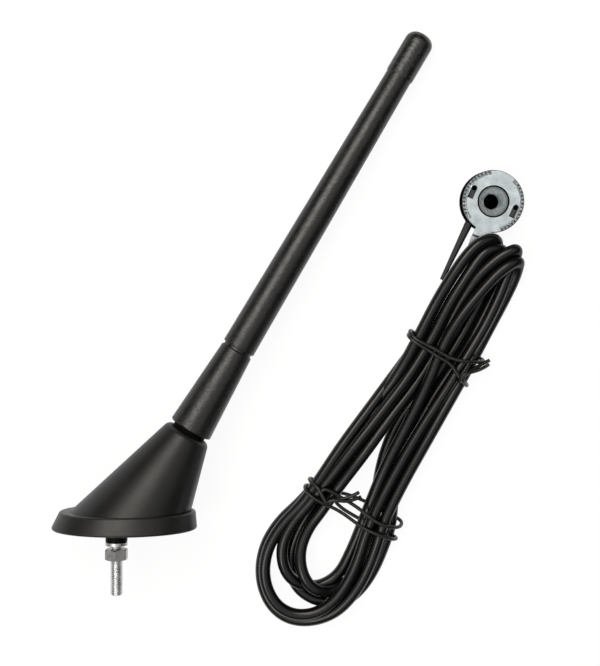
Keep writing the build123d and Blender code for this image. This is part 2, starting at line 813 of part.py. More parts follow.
# Where the joints and mounts lie in the shared frame
for name, point in (
    ("roof face", deck.origin),
    ("stud axis", deck.z_dir),
    ("cover top", mast.origin),
    ("mast axis", mast.z_dir),
    ("terminal eye", terminal.origin + Vector(0, 0, (eyelet_waist + eyelet_foot) / 2)),
    ("plug", plug_start + plug_line.z_dir * plug_length),
    ("stud end", deck.origin - deck.z_dir * stud_drop),
):
    print(name, [round(value, 5) for value in point])
print("lie", round(degrees(lie), 3))
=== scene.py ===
# %% [markdown]
# A car's mast aerial and its tied lead, lying on a white table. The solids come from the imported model,
# which is loaded as a fixed frame in metres. This script dresses them: it lays the real cable in place
# of the plain hank, ties it, cuts the threads and gives every piece its finish.

# %% Load the frame
import json
from math import atan2, ceil, pi

import bpy
from mathutils import Matrix, Vector


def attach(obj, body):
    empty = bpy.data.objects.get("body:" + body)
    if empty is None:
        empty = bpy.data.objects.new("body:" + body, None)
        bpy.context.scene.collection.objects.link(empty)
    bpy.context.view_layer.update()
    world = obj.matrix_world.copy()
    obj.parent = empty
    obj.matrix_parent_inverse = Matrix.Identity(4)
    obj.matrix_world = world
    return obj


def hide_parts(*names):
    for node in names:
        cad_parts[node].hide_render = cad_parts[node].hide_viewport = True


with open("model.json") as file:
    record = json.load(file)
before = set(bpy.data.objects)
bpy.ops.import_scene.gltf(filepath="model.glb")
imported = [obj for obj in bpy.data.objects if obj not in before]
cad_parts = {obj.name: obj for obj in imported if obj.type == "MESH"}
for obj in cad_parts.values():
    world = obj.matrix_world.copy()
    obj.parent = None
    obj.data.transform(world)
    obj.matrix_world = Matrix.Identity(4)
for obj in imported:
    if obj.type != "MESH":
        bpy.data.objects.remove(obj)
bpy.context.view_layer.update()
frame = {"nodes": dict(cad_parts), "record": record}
record = frame["record"]
joints = {joint["name"]: joint for joint in record["behaviour"]["joints"]}
mounts = {mount["name"]: mount for mount in record["mounts"]}

# %% [markdown]
# Lengths on the real object are easiest to think of in millimetres and colours as hex values, so two
# tiny helpers turn them into metres and linear light. A third adds one node to any tree, with its
# settings and links, which keeps every tree below readable as a list. The last puts new data in the scene.

# %% Small helpers
MM = 0.001


def linear(code):
    """An sRGB hex colour as linear RGBA."""
    levels = [int(code[i : i + 2], 16) / 255 for i in (1, 3, 5)]
    return [v / 12.92 if v <= 0.04045 else ((v + 0.055) / 1.055) ** 2.4 for v in levels] + [1.0]


def put(tree, kind, sockets=None, **settings):
    """Adds a node: settings are its properties, sockets its inputs, each a value or an output to link."""
    made = tree.nodes.new(kind)
    for name, value in settings.items():
        setattr(made, name, value)
    for key, value in (sockets or {}).items():
        if isinstance(value, bpy.types.NodeSocket):
            tree.links.new(value, made.inputs[key])
        else:
            made.inputs[key].default_value = value
    return made


def show(name, data):
    """Puts new data in the scene as an object at the origin."""
    piece = bpy.data.objects.new(name, data)
    bpy.context.collection.objects.link(piece)
    return piece


# %% [markdown]
# The photograph looks straight down on the table, square to the side of the aerial's base. So the view
# line is taken from the roof stud: the picture's upward direction is the stud's own line, and the
# camera looks square to it from a little over half a metre, with a short telephoto lens. The lens is
# given as its focal length in pixels, which fits the picture's longer side.

# %% Camera
FRAME_HIGH = 666
FOCAL_PIXELS = 1134.45
SENSOR = 36.0
CAMERA_AWAY = 540 * MM
MIDDLE_RIGHT, MIDDLE_UP = 87.346 * MM, 93.058 * MM
NEAREST, FURTHEST = 0.01, 20

roof_point = Vector(joints["nut_turn"]["pos_m"])
picture_up = -Vector(mounts["roof_face"]["axis"]).normalized()
picture_right = Vector((1, 0, 0))
towards_camera = picture_right.cross(picture_up)
picture_middle = roof_point + picture_right * MIDDLE_RIGHT + picture_up * MIDDLE_UP

lens = bpy.data.cameras.new("studio_lens")
lens.sensor_width = SENSOR
lens.lens = FOCAL_PIXELS / FRAME_HIGH * SENSOR
lens.clip_start, lens.clip_end = NEAREST, FURTHEST
camera = show("studio_camera", lens)
turned = Matrix((picture_right, picture_up, towards_camera)).transposed()
camera.matrix_world = turned.to_4x4()
camera.location = picture_middle + towards_camera * CAMERA_AWAY
bpy.context.scene.camera = camera
bpy.context.scene.view_settings.view_transform = "Standard"
print("camera at", [round(v, 4) for v in camera.location], "lens", round(lens.lens, 2), "mm")

# %% [markdown]
# To the camera and to reflections the paper glows just short of white, which keeps the ground clean
# without more light on the object. The rest of it is plain matt white, which takes the soft shadows.
# Light Path tells the two apart. Under the terminal's eye the paper is painted dark, a painted shade,
# because hardly any light gets down that hole.

# %% White table
TABLE_HALF = 3.0
TABLE_GLOW = 0.93
EYE_DARK, EYE_CLEAR = 5 * MM, 7 * MM

terminal_eye = Vector(mounts["terminal_eye"]["pos_m"])
table_mesh = bpy.data.meshes.new("table")
corners = [(x * TABLE_HALF, y * TABLE_HALF, 0) for x, y in ((-1, -1), (1, -1), (1, 1), (-1, 1))]
table_mesh.from_pydata(corners, [], [(0, 1, 2, 3)])
table = show("table", table_mesh)

# Matt paper: an even, nearly white ground, with a painted shade under the terminal's eye.
paper = bpy.data.materials.new("white_paper")
paper.use_nodes = True
tree = paper.node_tree
tree.nodes.clear()
rays = put(tree, "ShaderNodeLightPath").outputs
either = {0: rays["Is Camera Ray"], 1: rays["Is Glossy Ray"]}
seen = put(tree, "ShaderNodeMath", either, operation="MAXIMUM")
either = {0: seen.outputs[0], 1: rays["Is Transmission Ray"]}
seen = put(tree, "ShaderNodeMath", either, operation="MAXIMUM")
spot = put(tree, "ShaderNodeTexCoord").outputs["Object"]
away = put(tree, "ShaderNodeVectorMath", {0: spot, 1: terminal_eye}, operation="DISTANCE")
# Painted shade: the paper, glowing and matt alike, goes dark within a few mm of the eye's axis.
outside_painted_shade = put(tree, "ShaderNodeMapRange", {
    "Value": away.outputs["Value"], "From Min": EYE_DARK, "From Max": EYE_CLEAR,
})
lit = put(tree, "ShaderNodeMath", {0: outside_painted_shade.outputs[0], 1: TABLE_GLOW}, operation="MULTIPLY")
part = put(tree, "ShaderNodeMath", {0: seen.outputs[0], 1: lit.outputs[0]}, operation="MULTIPLY")
matt = put(tree, "ShaderNodeBsdfDiffuse", {"Color": outside_painted_shade.outputs[0]})
glow = put(tree, "ShaderNodeEmission", {"Color": linear("#ffffff"), "Strength": 1.0})
both = put(tree, "ShaderNodeMixShader", {0: part.outputs[0], 1: matt.outputs[0], 2: glow.outputs[0]})
put(tree, "ShaderNodeOutputMaterial", {"Surface": both.outputs[0]})
table_mesh.materials.append(paper)
print("table", 2 * TABLE_HALF, "m wide")

# %% [markdown]
# Black parts show by their highlights, so the light is a few soft boxes, each turned along the mast. A
# broad panel overhead gives each round piece one wide band along its top. A strip box draws the brighter
# line down the mast and the cover, and a smaller one does that for the loops at the bottom of the hank. A
# weak wall on the left fills the dark sides. The room itself is white to the camera and almost dark to
# everything else, so that it doesn't grey the blacks.

# %% Room and lamps
ROOM_GLOW = 0.08

world = bpy.data.worlds.new("studio")
world.use_nodes = True
tree = world.node_tree
tree.nodes.clear()
rays = put(tree, "ShaderNodeLightPath").outputs
level = put(tree, "ShaderNodeMapRange", {"Value": rays["Is Camera Ray"], "To Min": ROOM_GLOW, "To Max": 1.0})
sky = put(tree, "ShaderNodeBackground", {"Color": linear("#fbfbfd"), "Strength": level.outputs[0]})
put(tree, "ShaderNodeOutputWorld", {"Surface": sky.outputs[0]})
bpy.context.scene.world = world

# Each lamp's place, the point it looks at, its width and length, all in mm, its watts and its tint.
LAMPS = (
    ("overhead_panel", (-240, 60, 1000), (-240, 60, 0), (2400, 2400), 12.5, "#ffffff"),
    ("strip_box", (-213, 485, 950), (40, 60, 0), (560, 800), 7.4, "#fff8ef"),
    ("low_strip", (-430, -400, 950), (0, -100, 0), (400, 500), 3.3, "#fff8ef"),
    ("left_wall", (-950, 0, 480), (0, 0, 0), (800, 800), 0.3, "#ffffff"),
)
mast_axis = Vector(joints["mast_turn"]["axis"]).normalized()
for name, place, aim, (wide, long), watts, tint in LAMPS:
    lamp = bpy.data.lights.new(name, "AREA")
    lamp.shape = "RECTANGLE"
    lamp.size, lamp.size_y = wide * MM, long * MM
    lamp.energy = watts
    lamp.color = linear(tint)[:3]
    box = show(name, lamp)
    place, aim = Vector(place) * MM, Vector(aim) * MM
    backward = (place - aim).normalized()
    sideways = mast_axis.cross(backward).normalized()
    box.matrix_world = Matrix((sideways, backward.cross(sideways), backward)).transposed().to_4x4()
    box.location = place
print(len(LAMPS), "lamps over the table")

# %% [markdown]
# The lead is one round cable, wound in five loops and tied twice. Its route is written in the hank's own
# directions: how far along the hank from the lower tie, how far across it, and how high over the table,
# all in millimetres. Its runs share one row of stations along the hank, so each run is two short rows of
# numbers, across and high.

# %% Runs of the hank
LOWER_TIE = Vector((54.0, -95.6))
UPPER_TIE = Vector((99.8, -16.9))
along = (UPPER_TIE - LOWER_TIE).normalized()
across = Vector((along.y, -along.x))
STATIONS = (126, 109, 91, 70, 48, 24, 2)
RUNS = {
    "tail": ((-8.6, -10.2, -12.6, -14.8, -17.4, -20.2, -21.4), (3.1, 3.2, 4.4, 4.4, 7.0, 8.6, 9.8)),
    "right_1": ((8.6, 10.1, 9.8, 9.6, 8.8, 9.1, 10.4), (8.6, 8.6, 9.6, 8.8, 8.6, 8.8, 9.8)),
    "left_1": ((-6.2, -6.3, -3.7, -3.5, -6.8, -9.4, -12.0), (11.0, 7.5, 4.8, 4.6, 8.4, 11.8, 10.4)),
    "right_2": ((1.6, 3.2, 3.4, 2.0, -2.6, 1.6, 11.6), (3.4, 3.2, 4.4, 3.2, 3.0, 3.2, 4.4)),
    "left_2": ((-16.4, -16.6, -15.4, -14.2, -15.6, -18.8, -20.6), (12.4, 10.5, 10.2, 8.8, 4.6, 3.2, 4.4)),
    "right_3": ((12.4, 13.2, 14.0, 14.0, 14.3, 14.8, 16.2), (3.3, 3.2, 4.5, 7.4, 8.6, 8.8, 9.8)),
    "right_4": ((-0.2, -3.0, -3.2, 0.6, 2.2, 3.5, 7.2), (13.0, 12.0, 10.4, 9.0, 8.2, 7.8, 6.2)),
    "left_4": ((-10.4, -10.8, -9.2, -9.4, -12.0, -15.4, -18.0), (12.0, 10.8, 9.8, 9.6, 10.2, 11.4, 10.2)),
    "right_5": ((6.6, 8.4, 9.0, 7.0, 7.4, 9.4, 21.2), (3.3, 3.2, 4.4, 3.2, 3.0, 3.2, 4.4)),
}


def run(name, upwards):
    """The points of one run, read from its two rows, downwards or upwards."""
    points = list(zip(STATIONS, *RUNS[name]))
    return points[::-1] if upwards else points


print(len(RUNS), "runs of", len(STATIONS), "points")

# %% [markdown]
# At the bottom the hank opens into five loose loops, which differ as loops wound by hand do. At the top it
# closes in four tight hairpins, the noses. They follow no common rule, so their points are listed one by one:
# along, across and high.

# %% Loops and noses
LOOPS = {
    "outer_top": (
        (-12, -22.6, 9.0), (-25, -26.0, 8.6), (-38, -26.2, 8.6), (-49, -22.5, 8.6), (-57, -16.0, 8.6),
        (-62, -7.0, 8.6), (-61.5, 2.5, 8.7), (-55.5, 11.0, 9.0), (-46, 15.6, 9.2), (-34, 16.6, 9.3),
        (-22, 15.4, 9.2), (-9, 12.2, 9.4),
    ),
    "inner_front": (
        (-10, -12.4, 7.8), (-20, -13.6, 7.4), (-30, -12.4, 8.4), (-37.8, -8.2, 10.0),
        (-43.4, -1.6, 11.0), (-45.0, 5.6, 10.4), (-42.6, 12.4, 6.2), (-35.5, 17.6, 3.4),
        (-22, 19.2, 3.0), (-10, 16.6, 3.4),
    ),
    "outer_low": (
        (-12, -23.0, 3.4), (-25, -27.0, 3.0), (-38, -27.6, 3.0), (-50, -24.0, 3.0), (-59.5, -17.0, 3.0),
        (-65.5, -7.5, 3.0), (-66, 3.0, 3.2), (-60.5, 12.5, 4.5), (-51, 19.2, 7.5), (-40, 22.1, 8.6),
        (-27, 22.5, 8.6), (-12, 20.0, 9.0),
    ),
    "inner_back": (
        (-9, 9.4, 4.4), (-21, 11.3, 3.2), (-33.8, 12.2, 3.0), (-43.4, 7.2, 3.6), (-46.8, -0.4, 5.8),
        (-46.8, -8.5, 8.4), (-42, -16.0, 8.8), (-33, -21.2, 8.8), (-22, -22.0, 8.8), (-11, -20.0, 9.2),
    ),
    "inner_low": (
        (-11, 24.0, 3.4), (-24, 25.8, 3.0), (-36, 25.0, 3.0), (-45.5, 21.0, 3.0), (-49.6, 13.4, 3.0),
        (-51.6, 5.0, 3.0), (-49.8, -4.0, 3.0), (-43.6, -10.4, 3.0), (-36.4, -14.4, 3.0),
        (-26, -16.6, 3.0), (-14, -17.0, 3.4),
    ),
}
NOSES = {
    "nose_1": (
        (138, 6.2, 8.4), (144.4, 5.6, 9.0), (147.8, 4.2, 11.2), (147, 2.2, 13.0), (139, -2.8, 12.8),
    ),
    "nose_2": (
        (137, -4.6, 5.0), (145.8, -4.2, 7.2), (147.4, -8.0, 10.6), (143.4, -12.6, 12.8),
        (136, -15.4, 13.2),
    ),
    "nose_3": (
        (136, 11.0, 5.4), (141.4, 9.2, 8.0), (144, 7.6, 11.0), (141, 4.8, 13.0), (134, 1.6, 13.4),
    ),
    "nose_4": (
        (137.5, -9.6, 11.8), (143.4, -6.0, 10.8), (144.6, -1.6, 8.6), (142.5, 2.6, 6.0),
        (136, 5.0, 4.2),
    ),
}
CRIMP_START = ((143.6, -13.8, 3.63), (136.6, -12.2, 3.5))
PLUG_END = ((-5, -16.9, 4.3), (4, -14.6, 4.8), (8, -14.1, 4.8))
print(len(LOOPS), "loops and", len(NOSES), "noses")

# %% [markdown]
# One smooth NURBS curve follows the whole route, from the terminal's crimp to the plug, and a round bevel
# gives it its thickness. A tube swept in mesh code would look the same, but a curve stays one clear line.
# A copy with no bevel gives the points along that line.

# %% Lay the cable
CABLE = 5.8 * MM
route = [
    *CRIMP_START, *run("tail", False), *LOOPS["outer_top"], *run("right_1", True), *NOSES["nose_1"],
    *run("left_1", False), *LOOPS["inner_front"], *run("right_2", True), *NOSES["nose_2"],
    *run("left_2", False), *LOOPS["outer_low"], *run("right_3", True), *NOSES["nose_3"],
    *run("right_4", False), *LOOPS["inner_back"], *run("left_4", True), *NOSES["nose_4"],
    *run("right_5", False), *LOOPS["inner_low"], *PLUG_END,
]


def on_table(s, w, z):
    """A point of the hank, in metres in the frame."""
    flat = LOWER_TIE + along * s + across * w
    return Vector((flat.x, flat.y, z)) * MM


def trace(curve, points):
    """Adds one smooth line through the hank to a curve."""
    line = curve.splines.new("NURBS")
    line.points.add(len(points) - 1)
    for point, place in zip(line.points, points):
        point.co = (*on_table(*place), 1.0)
    line.order_u = 3
    line.use_endpoint_u = True


cable_line = bpy.data.curves.new("lead_cable", "CURVE")
cable_line.dimensions = "3D"
cable_line.bevel_depth = CABLE / 2
cable_line.bevel_resolution = 8
cable_line.resolution_u = 8
cable_line.use_fill_caps = True
trace(cable_line, route)
cable = show("lead_cable", cable_line)

bare = cable_line.copy()
bare.bevel_depth = 0
measure = show("cable_measure", bare)
ends = [vertex.co for vertex in bpy.data.meshes.new_from_object(measure).vertices]
bpy.data.objects.remove(measure)

# %% [markdown]
# Every finish below is a colour that drifts, a roughness that drifts with it, and small marks that break
# up the shine. Image textures could give that, but noise worked out from a point's place in the frame
# needs no unwrapping and keeps its real size in millimetres. These helpers make the shared parts. The last
# of them is for the terminal, whose pieces change tone in rings round its eye, as painted light and shade.

# %% Parts of a finish
NOISE_LOW, NOISE_HIGH = 0.6, 1.4  # where the sum of two noises mostly lies
MIX_FIRST, MIX_SECOND, MIX_RESULT = 6, 7, 2  # the colour sockets of a Mix node


def new_skin(name):
    """An empty material, its tree, and a point's place in the frame."""
    skin = bpy.data.materials.new(name)
    skin.use_nodes = True
    skin.node_tree.nodes.clear()
    return skin, skin.node_tree, put(skin.node_tree, "ShaderNodeTexCoord").outputs["Object"]


def worn(tree, drift, marks, rough, depth):
    """A roughness that follows the drift and the marks, and a bump for the marks alone."""
    middle, stray = rough
    mixed = put(tree, "ShaderNodeMath", {0: drift, 1: marks}, operation="ADD")
    shine = put(tree, "ShaderNodeMapRange", {
        "Value": mixed.outputs[0], "From Min": NOISE_LOW, "From Max": NOISE_HIGH,
        "To Min": middle - stray, "To Max": middle + stray,
    })
    bump = put(tree, "ShaderNodeBump", {"Height": marks, "Distance": depth * MM, "Strength": 1.0})
    return shine.outputs[0], bump.outputs[0]


def eye_reach(tree, place):
    """How far a point is from the axis of the terminal's eye."""
    spoke = put(tree, "ShaderNodeVectorMath", {0: place, 1: terminal_eye}, operation="SUBTRACT")
    spoke = put(tree, "ShaderNodeVectorMath", {0: spoke.outputs[0], 1: (1, 1, 0)}, operation="MULTIPLY")
    return put(tree, "ShaderNodeVectorMath", {0: spoke.outputs[0]}, operation="LENGTH").outputs["Value"]


# %% [markdown]
# Most of the aerial is black, and what tells its pieces apart is the skin that each mould or die left. A
# moulded skin is a dark body under a thin shine, with a grain that breaks the shine up and a slow change
# of tone where hands and the mould have polished it. One function mixes that from a few numbers: two
# tones, the roughness and how far it strays, the grain's size and depth in millimetres, the size of the
# slow change, and the strength of the shine.

# %% Skin of a moulding
DRIFT_STOPS = (0.3, 0.72)
FACE_SPAN = 20 * MM  # the reach that the collar's rings are counted over
FACE_LOW = 8.3 * MM  # the collar's upper faces lie above this height, its keying holes below it


def painted_ring_tones(tree, place, body, hole, rings):
    """The body's colour, but painted light and shade in rings on the collar's upper faces and outside them.
    """
    reach = eye_reach(tree, place)
    share = put(tree, "ShaderNodeMath", {0: reach, 1: FACE_SPAN}, operation="DIVIDE")
    zones = put(tree, "ShaderNodeValToRGB", {"Fac": share.outputs[0]})
    zones.color_ramp.interpolation = "CONSTANT"
    stops = zones.color_ramp.elements
    stops.remove(stops[1])
    for radius, tint in rings:
        stops.new(radius * MM / FACE_SPAN).color = linear(tint)
    stops[0].color = linear(hole)
    outermost = rings[-1][0] * MM
    height = put(tree, "ShaderNodeSeparateXYZ", {0: place}).outputs["Z"]
    above = put(tree, "ShaderNodeMath", {0: height, 1: FACE_LOW}, operation="GREATER_THAN")
    beyond = put(tree, "ShaderNodeMath", {0: reach, 1: outermost}, operation="GREATER_THAN")
    facing = put(tree, "ShaderNodeMath", {0: above.outputs[0], 1: beyond.outputs[0]}, operation="MAXIMUM")
    parts = {0: facing.outputs[0], MIX_FIRST: body, MIX_SECOND: zones.outputs[0]}
    return put(tree, "ShaderNodeMix", parts, data_type="RGBA").outputs[MIX_RESULT]


def moulded_skin(name, tones, rough, grain, blotch, gloss=0.45, stretch=(1, 1, 1), turn=0.0, rings=()):
    """A moulded or extruded skin: tones and roughness drift over blotch mm, and a grain breaks the shine."""
    skin, tree, place = new_skin(name)
    wide, deep = grain
    laid = put(tree, "ShaderNodeMapping", {"Vector": place, "Rotation": (0, 0, turn), "Scale": stretch})
    drift = put(tree, "ShaderNodeTexNoise", {
        "Vector": laid.outputs[0], "Scale": 1 / (blotch * MM), "Detail": 3.0, "Roughness": 0.6,
    }).outputs["Fac"]
    pits = put(tree, "ShaderNodeTexNoise", {
        "Vector": laid.outputs[0], "Scale": 1 / (wide * MM), "Detail": 2.0, "Roughness": 0.5,
    }).outputs["Fac"]
    tone = put(tree, "ShaderNodeValToRGB", {"Fac": drift})
    for stop, position, code in zip(tone.color_ramp.elements, DRIFT_STOPS, tones):
        stop.position = position
        stop.color = linear(code)
    colour = tone.outputs[0]
    if rings:
        # Painted light and shade in rings round the eye, for the collar.
        colour = painted_ring_tones(tree, place, colour, tones[0], rings)
    roughness, normal = worn(tree, drift, pits, rough, deep)
    body = put(tree, "ShaderNodeBsdfPrincipled", {
        "Base Color": colour, "Roughness": roughness, "Normal": normal,
        "IOR": 1.5, "Specular IOR Level": gloss,
    })
    put(tree, "ShaderNodeOutputMaterial", {"Surface": body.outputs[0]})
    return skin


# %% [markdown]
# The base and the mast wear four different blacks: a satin gasket, a matt cover, a sleeve with a leathery
# grain and a shinier cap. The terminal's collar and the boss are plain nylon, the collar with painted light
# and shade in rings round the eye, and the cable's jacket is the smoothest of all. Where a grain is too
# fine to show in the picture, it is drawn at about a millimetre.

# %% Black mouldings and the cable's jacket
MAST_TURN = -atan2(joints["mast_turn"]["axis"][1], joints["mast_turn"]["axis"][0])
ALONG_MAST = (0.55, 1, 1)
# The collar's tones, each from its radius in mm outwards, painted in place of its shine: painted light on
# the floors of the slots and on the ledge round the teeth, painted shade on its dark edge, and a painted
# sheen on the arm beside the cable.
COLLAR_PAINTED_RINGS = ((8.0, "#3f4142"), (12.6, "#5c5f61"), (14.75, "#0c0c0b"), (15.05, "#3c3c3d"))

# EPDM rubber, compression moulded: deep black and satin, with a slow bloom.
gasket_rubber = moulded_skin(
    "epdm_rubber_moulded", ("#080807", "#100f0d"), rough=(0.42, 0.08), grain=(0.9, 0.02), blotch=9, gloss=0.42
)
# Soft nitrile ring, the darkest of the blacks as painted shade in the gap: a dark line above the cover.
seal_painted_shade = moulded_skin(
    "nitrile_rubber_seal", ("#040404", "#070707"), rough=(0.7, 0.06), grain=(0.7, 0.02), blotch=4, gloss=0.05
)
# ABS from a fine spark-eroded mould: an even matt skin, with a grain drawn at 0.8 mm so that it shows.
cover_plastic = moulded_skin(
    "abs_spark_eroded", ("#080807", "#0e0d0c"), rough=(0.42, 0.06), grain=(0.8, 0.016), blotch=16, gloss=0.38
)
# Thermoplastic rubber drawn over the mast: a coarser leathery grain, slightly drawn out along the mast.
mast_sleeve = moulded_skin(
    "thermoplastic_rubber_sleeve", ("#070605", "#0d0c0a"), rough=(0.36, 0.1), grain=(0.9, 0.12), blotch=7,
    gloss=0.52, stretch=ALONG_MAST, turn=MAST_TURN,
)
# Soft PVC, dipped: shinier than the sleeve, with a broader, softer grain.
cap_rubber = moulded_skin(
    "soft_pvc_cap", ("#070605", "#0d0c0a"), rough=(0.34, 0.12), grain=(1.5, 0.2), blotch=6, gloss=0.6
)
# Nylon, plain moulded: a dull dark boss in the shade of the base.
nylon_black = moulded_skin(
    "nylon_moulded", ("#070707", "#0d0d0c"), rough=(0.42, 0.06), grain=(0.7, 0.01), blotch=8, gloss=0.05
)
# The same nylon with no shine at all: painted light on the faces of its slots and ledge, painted shade on its
# edge.
collar_nylon_painted = moulded_skin(
    "nylon_collar_painted_light_and_shade", ("#070707", "#0d0d0c"), rough=(0.42, 0.06), grain=(0.7, 0.01), blotch=8,
    gloss=0.0, rings=COLLAR_PAINTED_RINGS,
)
# Soft PVC, extruded: a smooth jacket that holds a clear highlight along each strand.
jacket = moulded_skin(
    "pvc_cable_jacket", ("#040404", "#080707"), rough=(0.27, 0.06), grain=(2.2, 0.004), blotch=10, gloss=0.37
)
# PVC on the tie wire and the plug's sleeve: a little greyer and duller than the cable.
tie_cover = moulded_skin(
    "pvc_tie_cover", ("#0c0c0b", "#141412"), rough=(0.4, 0.06), grain=(0.8, 0.02), blotch=5
)
# Glass fibre, pultruded: pale and slightly green, hidden in the mast.
glass_rod = moulded_skin(
    "pultruded_glass_fibre", ("#a8a588", "#c4c1a6"), rough=(0.4, 0.08), grain=(0.6, 0.02), blotch=4
)
cable_line.materials.append(jacket)
print("jacket on", cable.name)

# %% [markdown]
# The metal pieces are sheet and bar under a thin plating. Bright zinc is a cool silver whose shine is
# never even: the bath leaves cloudy patches and the barrel leaves fine scratches. The same recipe, with
# other colours and more or less shine, gives turned brass, drawn copper and cast zinc. The scratches are
# drawn wider than real ones, so that they show. Round the terminal, the teeth of the disc and the lip of
# the eye are too small to catch the light cleanly, so a ring of flecks paints it in: painted glints over
# painted shade on the teeth, and a mottled painted shade on the lip of the eye.

# %% Skin of a metal
CLOUD_STOPS = (0.32, 0.68)
FLECK_STOPS = (0.15, 0.45)
SCRATCH_TURN, SCRATCH_DRAWN = 0.6, 9  # the angle that scratches lie at, and how far they are drawn out
RIM_WIDE, CHIP = 2.1 * MM, 0.8 * MM


def painted_glint_rim(tree, place, body, rim):
    """The body's colour, but with a ring of flecks round the terminal's eye: painted glints and painted
    shade.
    """
    radius, top, bright, dull = rim
    reach = eye_reach(tree, place)
    height = put(tree, "ShaderNodeSeparateXYZ", {0: place}).outputs["Z"]
    outside = put(tree, "ShaderNodeMath", {0: reach, 1: radius}, operation="GREATER_THAN")
    inside = put(tree, "ShaderNodeMath", {0: reach, 1: radius + RIM_WIDE}, operation="LESS_THAN")
    below = put(tree, "ShaderNodeMath", {0: height, 1: top}, operation="LESS_THAN")
    ring = put(tree, "ShaderNodeMath", {0: outside.outputs[0], 1: inside.outputs[0]}, operation="MULTIPLY")
    ring = put(tree, "ShaderNodeMath", {0: ring.outputs[0], 1: below.outputs[0]}, operation="MULTIPLY")
    chips = put(tree, "ShaderNodeTexVoronoi", {"Vector": place, "Scale": 1 / CHIP})
    fleck = put(tree, "ShaderNodeValToRGB", {"Fac": chips.outputs["Distance"]})
    for stop, position, code in zip(fleck.color_ramp.elements, FLECK_STOPS, (bright, dull)):
        stop.position = position
        stop.color = linear(code)
    parts = {0: ring.outputs[0], MIX_FIRST: body, MIX_SECOND: fleck.outputs[0]}
    return put(tree, "ShaderNodeMix", parts, data_type="RGBA").outputs[MIX_RESULT]


def metal_skin(name, tones, rough, cloud, scratch, rim=None):
    """A metal: colour and roughness drift in clouds of cloud mm, and fine scratches lie in the bump."""
    skin, tree, place = new_skin(name)
    wide, deep = scratch
    drift = put(tree, "ShaderNodeTexNoise", {"Vector": place, "Scale": 1 / (cloud * MM), "Detail": 4.0})
    drift = drift.outputs["Fac"]
    streaks = put(tree, "ShaderNodeMapping", {
        "Vector": place, "Rotation": (0, 0, SCRATCH_TURN), "Scale": (1, SCRATCH_DRAWN, 1),
    })
    lines = put(tree, "ShaderNodeTexNoise", {
        "Vector": streaks.outputs[0], "Scale": 1 / (wide * SCRATCH_DRAWN * MM), "Detail": 3.0,
    }).outputs["Fac"]
    tone = put(tree, "ShaderNodeValToRGB", {"Fac": drift})
    for stop, position, code in zip(tone.color_ramp.elements, CLOUD_STOPS, tones):
        stop.position = position
        stop.color = linear(code)
    colour = tone.outputs[0]
    if rim:
        colour = painted_glint_rim(tree, place, colour, rim)
    roughness, normal = worn(tree, drift, lines, rough, deep)
    body = put(tree, "ShaderNodeBsdfPrincipled", {
        "Base Color": colour, "Metallic": 1.0, "Roughness": roughness, "Normal": normal,
    })
    put(tree, "ShaderNodeOutputMaterial", {"Surface": body.outputs[0]})
    return skin


# %% Plated and turned metals
# Each rim: where it starts, how high it reaches, and the tones of its bright and its dull flecks, all
# painted.
# Painted glints on the disc's teeth, over a painted shade.
TEETH = (12.7 * MM, 9.8 * MM, "#eef2f3", "#8a9092")
# A mottled painted shade on the lip of the eye.
EYE_RIM = (6.15 * MM, 12 * MM, "#8b8f90", "#6f7374")

# Bright zinc on pressed sheet: a cool, clouded silver, with painted glints and painted shade on its teeth.
zinc_plate = metal_skin(
    "bright_zinc_plate", ("#bac3c6", "#d6dee0"), rough=(0.3, 0.08), cloud=5, scratch=(0.35, 0.008), rim=TEETH
)
# Zinc on a rolled thread: pale, neutral and satin, so that each crest keeps its own line of light.
bar_zinc = metal_skin(
    "dull_zinc_plate", ("#cbcccd", "#e4e5e6"), rough=(0.34, 0.06), cloud=3, scratch=(0.35, 0.004)
)
# Zinc on hexagon bar and on spring steel: a copy painted darker and warmer, as painted shade, with a soft
# shine.
nut_zinc_painted_darker = metal_skin(
    "zinc_plate_on_bar", ("#acabaa", "#c5c4c3"), rough=(0.4, 0.06), cloud=3, scratch=(0.35, 0.006)
)
# Tin on drawn steel: pale and nearly matt, so that the dish shades softly inside its lip, painted darker as
# shade.
dished_steel = metal_skin(
    "tin_plated_steel", ("#d8dfe2", "#ebf1f3"), rough=(0.5, 0.06), cloud=3, scratch=(0.4, 0.006), rim=EYE_RIM
)
# Nickel on turned steel: a warm grey satin.
plated_steel = metal_skin(
    "nickel_plated_steel", ("#979694", "#b4b3b1"), rough=(0.48, 0.06), cloud=4, scratch=(0.4, 0.008)
)
# Turned brass: golden, with the fine shine that the tool leaves.
turned_brass = metal_skin(
    "turned_brass", ("#a98549", "#cba866"), rough=(0.26, 0.06), cloud=4, scratch=(0.3, 0.006)
)
# Enamelled copper, close wound: a red-brown sheen.
drawn_copper = metal_skin(
    "enamelled_copper", ("#8a4a2c", "#b0653d"), rough=(0.3, 0.06), cloud=3, scratch=(0.3, 0.006)
)
# Die-cast zinc, as cast: a cloudy grey, slightly rough.
cast_zinc = metal_skin(
    "zinc_die_casting", ("#8f9294", "#aaadb0"), rough=(0.45, 0.08), cloud=3, scratch=(0.5, 0.02)
)
print(len(bpy.data.materials), "materials in the file")

# %% [markdown]
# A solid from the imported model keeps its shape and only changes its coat: its material slots are emptied
# and get the finish. The pieces that are made anew below, the ties, the studs and the cable, bring their own.

